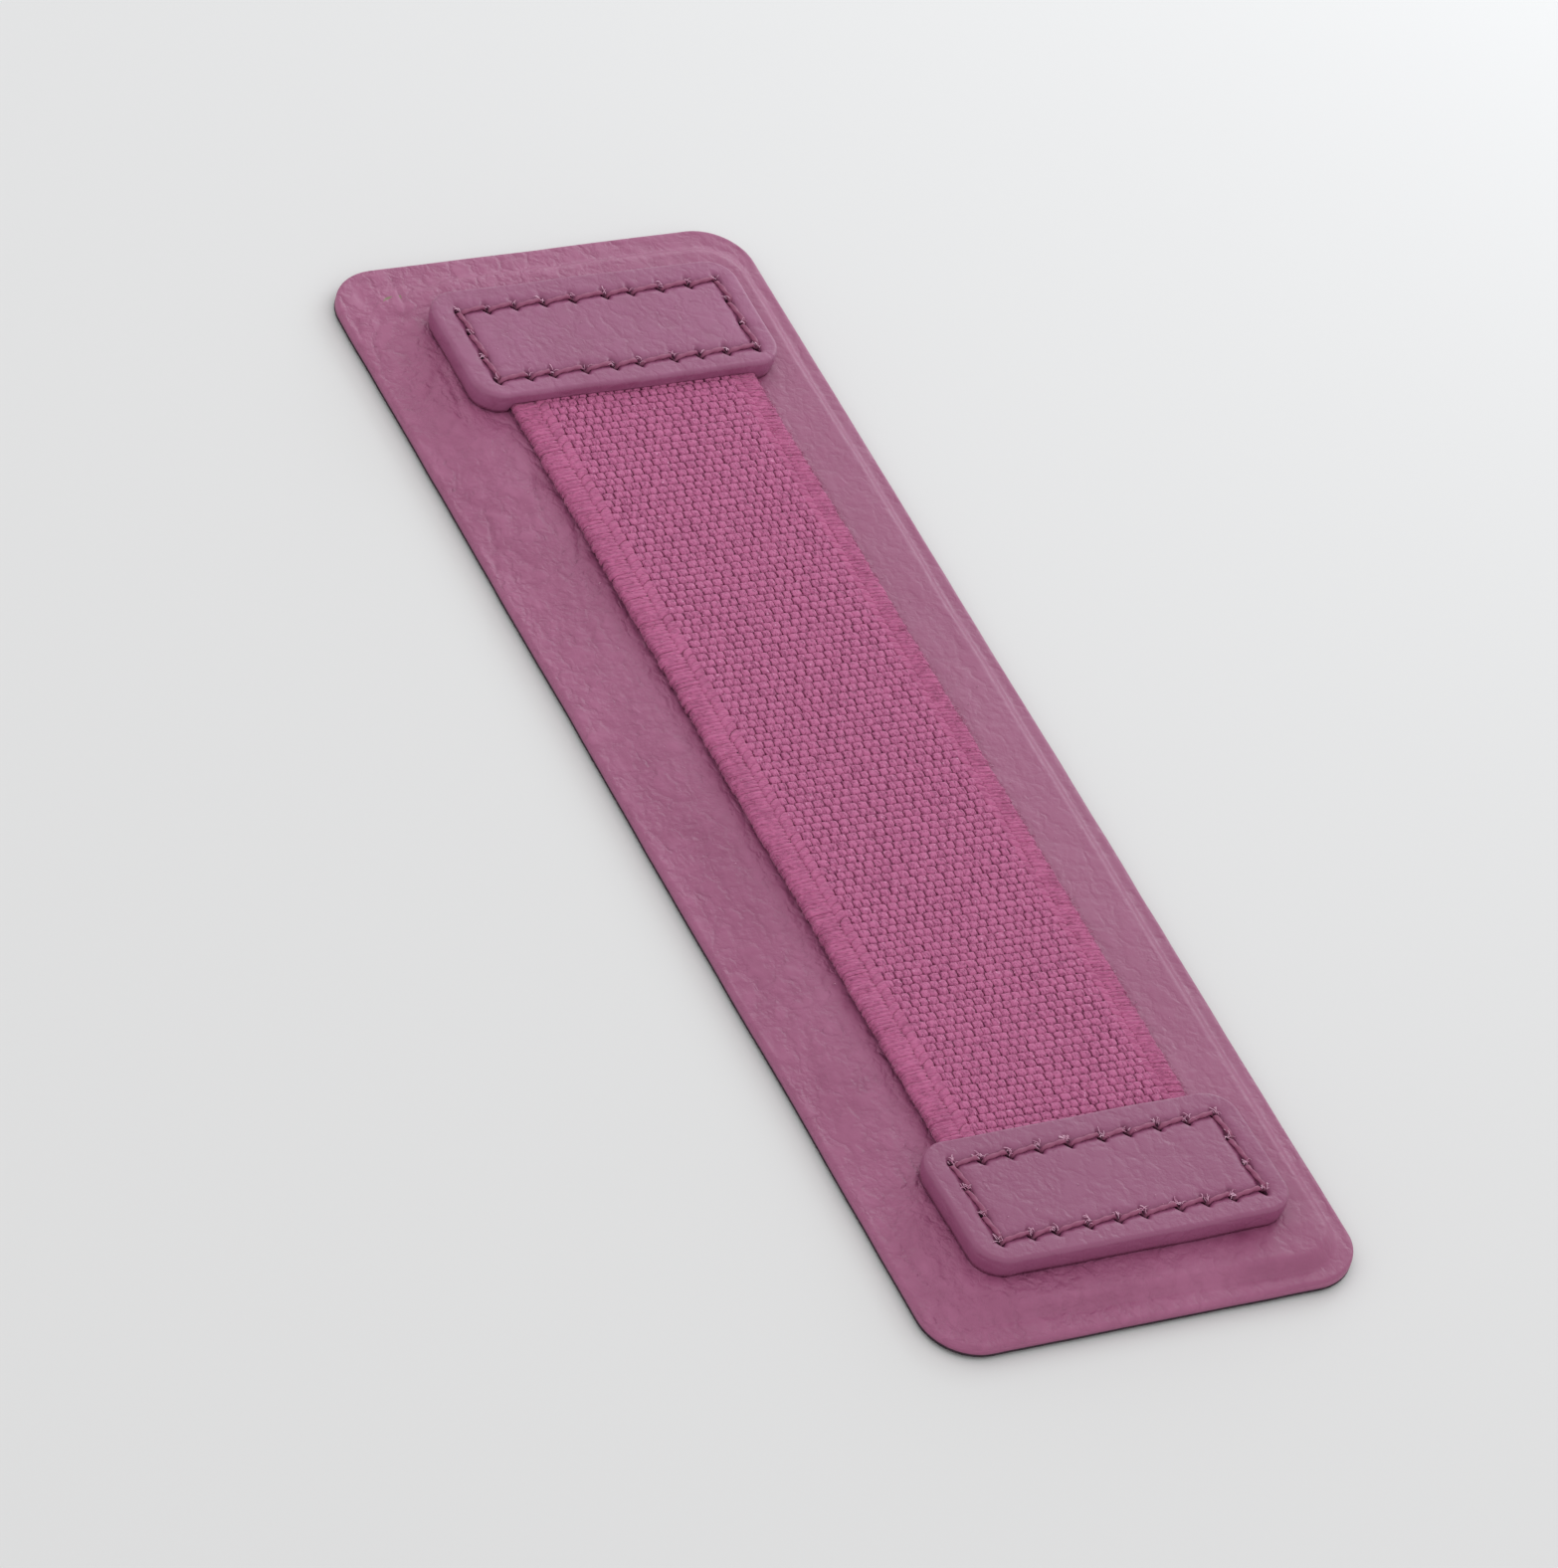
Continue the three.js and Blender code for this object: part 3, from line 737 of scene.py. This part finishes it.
def turning_grain(side, y, number):
    """Rings of one pick's slanted float between the weave and the selvage."""
    jitter = [lattice(float(number), float(side), 80 + k) - 0.5 for k in range(4)]
    t = np.linspace(0, 1, 8)
    width = TURN_WIDTHS[side] * (1 + 0.2 * jitter[0])
    inner = WEAVE_CENTRE_X + side * (WEAVE_WIDTH / 2 - 0.1)
    ends = (2 * t - 1) ** 4
    x = inner + side * width * t
    path_y = y + 0.06 * jitter[3] - TURN_SLANT * (1 + 0.4 * jitter[1]) * width * (t - 0.35) * (0.5 + t)
    z = BAND_CREST - TURN_HALF_THICKNESS - 0.02 - 0.05 * ends
    full = np.sqrt(np.clip(1.25 - ends, 0, 1))
    half_y = TURN_HALF_WIDTH * (0.97 + 0.14 * jitter[2]) * full
    return outward_rings(side, x, path_y, z, half_y, TURN_HALF_THICKNESS * full, 8)


def edge_strand(side, y, number, outer):
    """Rings of one strand of a pick that turns over the band's edge and down its side."""
    jitter = [lattice(float(number), float(side), 180 + k) - 0.5 for k in range(5)]
    start = WEAVE_CENTRE_X + side * (WEAVE_WIDTH / 2 + TURN_WIDTHS[side] - 0.3 + 0.25 * jitter[0])
    corner = outer + side * (0.12 * jitter[1] - SELVAGE_BEND)
    turn = np.radians(np.linspace(80, -55, 6))
    crest = BAND_CREST - STRAND_HALF_THICKNESS - 0.03 + 0.05 * jitter[2]
    x = np.concatenate([np.linspace(start, corner, 5)[:-1], corner + side * SELVAGE_BEND * np.cos(turn)])
    z = np.concatenate([crest - np.array([0.06, 0.01, 0, 0]), crest - SELVAGE_BEND * (1 - np.sin(turn))])
    path_y = y + 0.03 * jitter[3] - (0.12 + 0.06 * jitter[4]) * np.abs(x - start)
    share = np.linspace(0, 1, len(x))
    full = np.clip(np.minimum(share * 7 + 0.5, (1 - share) * 6 + 0.4), 0, 1)
    half_y = STRAND_HALF_WIDTH * (1 + 0.2 * jitter[1]) * full
    return outward_rings(side, x, path_y, z, half_y, STRAND_HALF_THICKNESS * (1 + 0.3 * jitter[3]) * full, 6)


def joined_yarns(name, yarns, material):
    """One piece from the rings of many short yarns."""
    points, faces = [], []
    total = 0
    for rings in yarns:
        faces += tube(rings, closed=False, start=total)
        points.append(rings.reshape(-1, 3))
        total += rings.shape[0] * rings.shape[1]
    return finish_piece(mesh_object(name, np.concatenate(points), faces, [material]))


def selvage(side, material):
    """One edge of the band, where its picks turn; side is -1 for the left, 1 for the right."""
    low, high = (np.array(corner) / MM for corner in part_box("elastic_band"))
    outer = low[0] if side < 0 else high[0]
    picks = pick_places()
    pitch = picks[1] - picks[0]
    yarns = [turning_grain(side, y, n) for n, y in enumerate(picks)]
    for n, y in enumerate(picks):
        for k in range(STRANDS_PER_PICK):
            strand_y = y + ((k + 0.5) / STRANDS_PER_PICK - 0.5) * pitch
            yarns.append(edge_strand(side, strand_y, n * STRANDS_PER_PICK + k, outer))
    return joined_yarns("selvage_left" if side < 0 else "selvage_right", yarns, material)


def filament(rng, x, y, z, length, heading, radius):
    """Rings of one fine curled fibre that starts at a point and sets off along a heading."""
    t = np.linspace(0, 1, 5)
    bend = heading + rng.uniform(-2.0, 2.0) * t
    path_x = x + np.concatenate([[0], np.cumsum(np.cos(bend[1:]) * length / 4)])
    path_y = y + np.concatenate([[0], np.cumsum(np.sin(bend[1:]) * length / 4)])
    path_z = z + rng.uniform(0.02, 0.16) * np.sin(0.8 * np.pi * t)
    angle = 2 * np.pi * np.arange(3) / 3
    ring_x = path_x[:, None] - radius * np.sin(bend)[:, None] * np.cos(angle)[None, :]
    ring_y = path_y[:, None] + radius * np.cos(bend)[:, None] * np.cos(angle)[None, :]
    ring_z = path_z[:, None] + radius * np.sin(angle)[None, :]
    return np.stack([ring_x, ring_y, ring_z], -1)


def loose_fibres(name, material, count, edge_share, lengths, seed):
    """Fine filaments that stand off the band, a share of them along its two edges."""
    rng = np.random.default_rng(seed)
    low, high = (np.array(corner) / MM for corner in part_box("elastic_band"))
    start_y, end_y = weave_span()
    fibres = []
    for n in range(count):
        side = -1 if n % 2 else 1
        y = rng.uniform(start_y + 0.6, end_y - 0.6)
        if rng.random() < edge_share:
            down = rng.uniform(0, 1)
            x = (low[0] if side < 0 else high[0]) - side * (0.02 + 1.3 * (1 - down) ** 2)
            z = BAND_CREST - 0.05 - 0.4 * down**4
        else:
            x, z = rng.uniform(low[0] + 0.6, high[0] - 0.6), BAND_CREST - 0.05
        heading = rng.uniform(-0.9, 0.9) + (0 if side > 0 else math.pi)
        fibres.append(filament(rng, x, y, z, rng.uniform(*lengths), heading, rng.uniform(0.007, 0.014)))
    return joined_yarns(name, fibres, material)


# Tabs and their seams


def turned(x, y, degrees):
    c, s = math.cos(math.radians(degrees)), math.sin(math.radians(degrees))
    return c * x - s * y, s * x + c * y


class Seam:
    """The box stitch of one tab, about the tab's centre, in mm."""

    def __init__(self, size, centre):
        self.half, self.centre = np.array(size) / 2, np.array(centre)
        self.holes = self.place_holes()

    def place_holes(self):
        signs = [(1, 1), (-1, 1), (-1, -1), (1, -1)]
        corners = [self.centre + self.half * sign for sign in signs]
        holes = []
        for side, corner in enumerate(corners):
            reach = corners[(side + 1) % 4] - corner
            stitches = LONG_ROW_STITCHES if side % 2 == 0 else SHORT_ROW_STITCHES
            for i in range(stitches):
                stray = 0.012 * (2 * lattice(float(i), float(side), 91) - 1) if i else 0
                holes.append(corner + reach * (i / stitches + stray))
        return np.array(holes)

    def away(self, x, y):
        """Distance from the seam's line, positive outside the box."""
        qx = np.abs(x - self.centre[0]) - self.half[0]
        qy = np.abs(y - self.centre[1]) - self.half[1]
        return np.hypot(np.clip(qx, 0, None), np.clip(qy, 0, None)) + np.minimum(np.maximum(qx, qy), 0)

    def slits(self, x, y):
        """How deep into a needle slit each point is, 0 to 1; the slits stand along the tab's length."""
        c, s = math.cos(math.radians(SLIT_ANGLE)), math.sin(math.radians(SLIT_ANGLE))
        depth = np.zeros_like(x)
        for hole_x, hole_y in self.holes:
            dx, dy = x - hole_x, y - hole_y
            u, v = (c * dx + s * dy) / SLIT_HALF_LENGTH, (c * dy - s * dx) / SLIT_HALF_WIDTH
            depth = np.maximum(depth, np.exp(-(u**2) - v**2))
        return depth

    def relief(self, x, y):
        """The leather's height change round the seam: a drawn-in groove, dimples and needle slits."""
        z = -GROOVE_DEPTH * np.exp(-(np.abs(self.away(x, y) / GROOVE_SPREAD) ** 1.7))
        for hole_x, hole_y in self.holes:
            z = z - 0.06 * np.exp(-((x - hole_x) ** 2 + (y - hole_y) ** 2) / 0.5**2)
        return z - HOLE_DEPTH * self.slits(x, y)


def tab_plate(node, size, centre_y):
    """A tab's grid, whose outline wavers a little."""
    spread = TAB_SPREADS[node]
    plate = Plate(size[0] + spread[0], size[1] + spread[1], TAB_CORNER, TAB_STEP, TAB_CORNER_ROWS)
    edge = 1 - np.clip(plate.inset / 2, 0, 1)
    level = np.zeros_like(plate.x)
    side_noise = wave_noise(plate.y / 3, level, 101 + centre_y)
    plate.x = plate.x + np.sign(plate.x) * edge * TAB_SIDE_WAVER * side_noise
    end_noise = wave_noise(plate.x / 4, level, 103 + centre_y)
    plate.y = plate.y + np.sign(plate.y) * edge * TAB_END_WAVER * end_noise
    return plate


def tab_top(plate, crown, seam, centre_y):
    """Height of a tab's upper face: rounded edges, soft unevenness, creases and the seam."""
    inset = np.clip(plate.inset / TAB_EDGE_ROUND, 0, 1)
    top = crown - TAB_EDGE_DROP * (1 - np.sqrt(np.clip(1 - (1 - inset) ** 2.2, 0, 1)))
    settle = smoothstep(0.5, 1.6, plate.inset)
    top = top + 0.03 * settle * wave_noise(plate.x / 3.3, plate.y / 2.6, 111 + centre_y)
    world_y = plate.y + centre_y
    lines = 0.02 * creases(plate.x, world_y, 60, 2.6, 0.9, 121)
    lines = lines + 0.02 * creases(plate.x, world_y, 150, 3.4, 1.0, 131)
    top = top - lines * settle + seam.relief(plate.x, plate.y)
    return np.maximum(top, BAND_CREST + 0.04)


def tab_sides(plate, crown, centre):
    """Rings down a tab's edge, from its shoulder to the band or the panel, and one in under it."""
    inward = -1 if centre[1] > 0 else 1
    band_low, band_high = (np.array(corner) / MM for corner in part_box("elastic_band"))
    rim_x, rim_y = plate.x.ravel()[plate.rim], plate.y.ravel()[plate.rim]
    out_x, out_y = plate.out_x.ravel()[plate.rim], plate.out_y.ravel()[plate.rim]
    off_middle = np.abs(rim_x + centre[0] - (band_low[0] + band_high[0]) / 2)
    over_band = smoothstep(0.35, -0.15, off_middle - (band_high[0] - band_low[0]) / 2)
    on_mouth = over_band * (out_y * inward > 0.7)
    foot = PANEL_TOP + (BAND_CREST - 0.03 - PANEL_TOP) * on_mouth
    shoulder = crown - TAB_EDGE_DROP
    rings = []
    for share, reach in ((0.25, 0.02), (0.5, 0.0), (0.75, -0.07), (1.0, -TAB_TUCK)):
        tuck = reach * (1 - on_mouth)
        height = shoulder + (foot - shoulder) * share
        rings.append(np.stack([rim_x + out_x * tuck, rim_y + out_y * tuck, height], -1))
    rings.append(np.stack([rim_x * 0.9, rim_y * 0.84, np.full_like(rim_x, BAND_CREST + 0.01)], -1))
    return rings


def tab(name, node, seam, leather, slit):
    """A leather tab with turned edges, resting on the band and on the panel beside it."""
    low, high = (np.array(corner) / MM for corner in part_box(node))
    centre, size = (low + high) / 2, high - low
    plate = tab_plate(node, size, centre[1])
    top = tab_top(plate, high[2], seam, centre[1])
    points, faces, top_faces = plate.solid(top, tab_sides(plate, high[2], centre))
    # Faces deep in a needle slit take the dark slit material: painted shade in the holes
    depth = seam.slits(plate.x, plate.y)
    in_slit = (depth[1:, 1:] + depth[:-1, :-1]) / 2 > SLIT_SHADE_FROM
    slots = in_slit.ravel().astype(int).tolist() + [0] * (len(faces) - top_faces)
    points[:, 0], points[:, 1] = turned(points[:, 0], points[:, 1], TAB_TURNS[node])
    points = points + np.array([centre[0], centre[1], 0])
    piece = mesh_object(name, points, faces, [leather, slit], slots)
    return finish_piece(piece, [node])


def thread_path(seam, lying):
    """Points along the thread, which dives at each hole, and the outward side at each point."""
    count = len(seam.holes)
    path, sides = [], []
    for i in range(count):
        a, b = seam.holes[i], seam.holes[(i + 1) % count]
        length = float(np.linalg.norm(b - a))
        t = np.arange(0, 1, THREAD_STEP / length)
        along = (b - a) / length
        out = np.array([along[1], -along[0]])
        from_end = np.minimum(t, 1 - t) * length
        dive = np.exp(-((from_end / DIVE_REACH) ** 2))
        slant = STITCH_SLANT * (1 - 2 * t)
        xy = a + (b - a) * t[:, None] + out * slant[:, None]
        z = lying + THREAD_BOW * np.sin(np.pi * t) - DIVE_DEPTH * dive
        path += np.column_stack([xy, z]).tolist()
        sides += [out.tolist()] * len(t)
    path, sides = np.array(path), np.array(sides)
    smooth_sides = sides + np.roll(sides, 1, 0) + np.roll(sides, -1, 0)
    smooth_sides /= np.linalg.norm(smooth_sides, axis=1, keepdims=True)
    return path, smooth_sides


def seam_thread(name, node, tab_node, seam, material):
    """The needle thread: a two-ply twist that lies in the groove and dives at each hole."""
    low, high = (np.array(corner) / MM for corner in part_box(tab_node))
    centre = (low + high) / 2
    path, sides = thread_path(seam, high[2] - GROOVE_DEPTH + THREAD_RADIUS - THREAD_SINK)
    travelled = np.concatenate([[0], np.cumsum(np.linalg.norm(np.diff(path, axis=0), axis=1))])
    angle = 2 * np.pi * np.arange(THREAD_SIDES) / THREAD_SIDES
    twist = 2 * np.pi * travelled / TWIST_LENGTH
    radius = THREAD_RADIUS * (0.92 + 0.16 * np.cos(2 * (angle[None, :] - twist[:, None] / 2)))
    across = radius * np.cos(angle)[None, :]
    rise = radius * np.sin(angle)[None, :]
    x = path[:, 0, None] + sides[:, 0, None] * across
    y = path[:, 1, None] + sides[:, 1, None] * across
    x, y = turned(x, y, TAB_TURNS[tab_node])
    rings = np.stack([x + centre[0], y + centre[1], path[:, 2, None] + rise], -1)[:, ::-1]
    piece = mesh_object(name, rings.reshape(-1, 3), tube(rings, closed=True), [material])
    return finish_piece(piece, [node])


def frayed_holes(name, tab_node, seam, material, seed):
    """Fine broken filaments of the thread that stand out of the needle holes."""
    rng = np.random.default_rng(seed)
    low, high = (np.array(corner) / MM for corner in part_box(tab_node))
    centre = (low + high) / 2
    fibres = []
    for hole in seam.holes:
        for _ in range(FRAYS_PER_HOLE[tab_node]):
            at = hole + rng.uniform(-0.22, 0.22, 2)
            x, y = turned(at[0], at[1], TAB_TURNS[tab_node])
            heading = math.radians(SLIT_ANGLE) + rng.uniform(-1.2, 1.2)
            length, radius = rng.uniform(0.2, 0.6), rng.uniform(0.018, 0.034)
            fibre = filament(rng, x, y, high[2] - 0.05, length, heading, radius)
            fibres.append(fibre + [centre[0], centre[1], 0])
    return joined_yarns(name, fibres, material)


def dust(material, count, seed):
    """Specks of dust on the leather: on both tabs and on the margins beside the band."""
    rng = np.random.default_rng(seed)
    places = []
    for node in ("upper_tab", "lower_tab"):
        low, high = (np.array(corner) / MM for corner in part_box(node))
        first, last = low + DUST_INSET, high - DUST_INSET
        places.append((first[0], last[0], first[1], last[1], high[2]))
    places += [(left, right, -DUST_REACH, DUST_REACH, PANEL_TOP) for left, right in DUST_MARGINS]
    specks = []
    for n in range(count):
        left, right, lower, upper, top = places[n % len(places)]
        x, y = rng.uniform(left, right), rng.uniform(lower, upper)
        length, heading, radius = rng.uniform(0.04, 0.14), rng.uniform(0, 6.3), rng.uniform(0.015, 0.03)
        specks.append(filament(rng, x, y, top, length, heading, radius))
    return joined_yarns("dust", specks, material)


# Stage


def place_camera():
    """The photograph's camera: it looks at the target from a direction and a distance, rolled."""
    azimuth, elevation, roll = (math.radians(a) for a in (VIEW_AZIMUTH, VIEW_ELEVATION, VIEW_ROLL))
    flat = math.cos(elevation)
    back = Vector((math.sin(azimuth) * flat, -math.cos(azimuth) * flat, math.sin(elevation)))
    level = Vector((0, 0, 1)).cross(back).normalized()
    upright = back.cross(level)
    right = math.cos(roll) * level + math.sin(roll) * upright
    up = -math.sin(roll) * level + math.cos(roll) * upright
    data = bpy.data.cameras.new("camera")
    data.lens = LENS_MM
    data.sensor_width = SENSOR_MM
    data.clip_start = 0.05
    data.clip_end = 20
    camera = bpy.data.objects.new("camera", data)
    bpy.context.scene.collection.objects.link(camera)
    target = Vector((*VIEW_TARGET, 0)) * MM
    place = Matrix((right, up, back)).transposed().to_4x4()
    place.translation = target + back * VIEW_DISTANCE * MM
    camera.matrix_world = place
    bpy.context.scene.camera = camera


def softbox(name, toward, distance, size, power):
    """A square lamp that shines on the object from a direction."""
    data = bpy.data.lights.new(name, "AREA")
    data.shape = "SQUARE"
    data.size = size
    data.energy = power
    data.color = LAMP_COLOUR
    lamp = bpy.data.objects.new(name, data)
    bpy.context.scene.collection.objects.link(lamp)
    direction = Vector(toward).normalized()
    lamp.location = direction * distance
    lamp.rotation_euler = direction.to_track_quat("Z", "Y").to_euler()


def floor():
    mesh = bpy.data.meshes.new("floor")
    corners = [(x * FLOOR_REACH, y * FLOOR_REACH, 0) for x, y in ((-1, -1), (1, -1), (1, 1), (-1, 1))]
    mesh.from_pydata(corners, [], [(0, 1, 2, 3)])
    s = Surface("floor", 0.9, specular=0.1)
    s.shader.inputs["Base Color"].default_value = linear(FLOOR_COLOUR)
    mesh.materials.append(s.material)
    ground = bpy.data.objects.new("floor", mesh)
    bpy.context.scene.collection.objects.link(ground)


def world_light(strength):
    world = bpy.data.worlds.new("studio")
    world.use_nodes = True
    background = world.node_tree.nodes["Background"]
    background.inputs["Color"].default_value = (1, 1, 1, 1)
    background.inputs["Strength"].default_value = strength
    bpy.context.scene.world = world


def build():
    leather = leather_material("leather", LEATHER_COLOUR, LEATHER_DEEP,
                               left_grain=2.1, right_grain=0.7, deeper=("X", 7, 12))
    # The tabs take the darker copy of the leather: painted shade, with a painted falloff towards the lower
    # tab
    tab_leather_shaded = leather_material("tab_leather_shaded", TAB_SHADED_COLOUR, TAB_SHADED_DEEP,
                                   left_grain=0.8, right_grain=0.8, deeper=("Y", 0, -35))
    slit = plain_material("needle_slit_shade", SLIT_SHADE_DEEP, SLIT_SHADE_COLOUR, (5, 5, 5), 0.8, 0.02)
    edge = edge_material()
    yarn = yarn_material()
    core = plain_material("weft", WEFT_DEEP, WEFT_COLOUR, (3, 9, 3), 0.8, 0.03)
    lint = plain_material("lint", YARN_COLOUR, LINT_COLOUR, (3, 3, 3), 0.6, 0.01)
    fray = plain_material("fray", FRAY_DEEP, FRAY_COLOUR, (3, 3, 3), 0.5, 0.01)
    edge_yarn = selvage_material()
    thread = thread_material()
    lining = plain_material("lining", LINING_DEEP, LINING_COLOUR, (4, 4, 4), 0.85, 0.03)
    board = plain_material("board", BOARD_DEEP, BOARD_COLOUR, (2, 5, 5), 0.9, 0.03)
    adhesive = plain_material("adhesive", ADHESIVE_DEEP, ADHESIVE_COLOUR, (5, 5, 5), 0.7, 0.03)

    base_cover(leather, edge)
    base_sheet("lining_sheet", "base_lining", lining, 0.0, ADHESIVE_TOP, LINING_TOP)
    base_sheet("adhesive_sheet", "adhesive_pad", adhesive, ADHESIVE_INSET, 0.0, ADHESIVE_TOP)
    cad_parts["base_board"].data.materials.clear()
    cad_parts["base_board"].data.materials.append(board)

    body = band_core(core)
    on_band = warp_yarns(yarn)
    on_band += [selvage(-1, edge_yarn), selvage(1, edge_yarn)]
    on_band.append(loose_fibres("edge_fuzz", edge_yarn, EDGE_FUZZ_COUNT, 0.9, (0.15, 0.4), seed=5))
    on_band.append(loose_fibres("lint", lint, LINT_COUNT, 0.6, (0.08, 0.3), seed=6))

    for number, end in enumerate(("upper", "lower")):
        node = end + "_tab"
        seam = Seam(SEAM_SIZES[node], SEAM_CENTRES[node])
        tab("tab_" + end, node, seam, tab_leather_shaded, slit)
        seam_thread("thread_" + end, end + "_seam_thread", node, seam, thread)
        frayed_holes("frays_" + end, node, seam, fray, seed=15 + number)
    dust(fray, DUST_COUNT, seed=25)


build()
place_camera()
floor()
world_light(WORLD_STRENGTH)
for lamp_name, lamp in LAMPS.items():
    softbox(lamp_name, **lamp)
bpy.context.scene.view_settings.view_transform = "Standard"
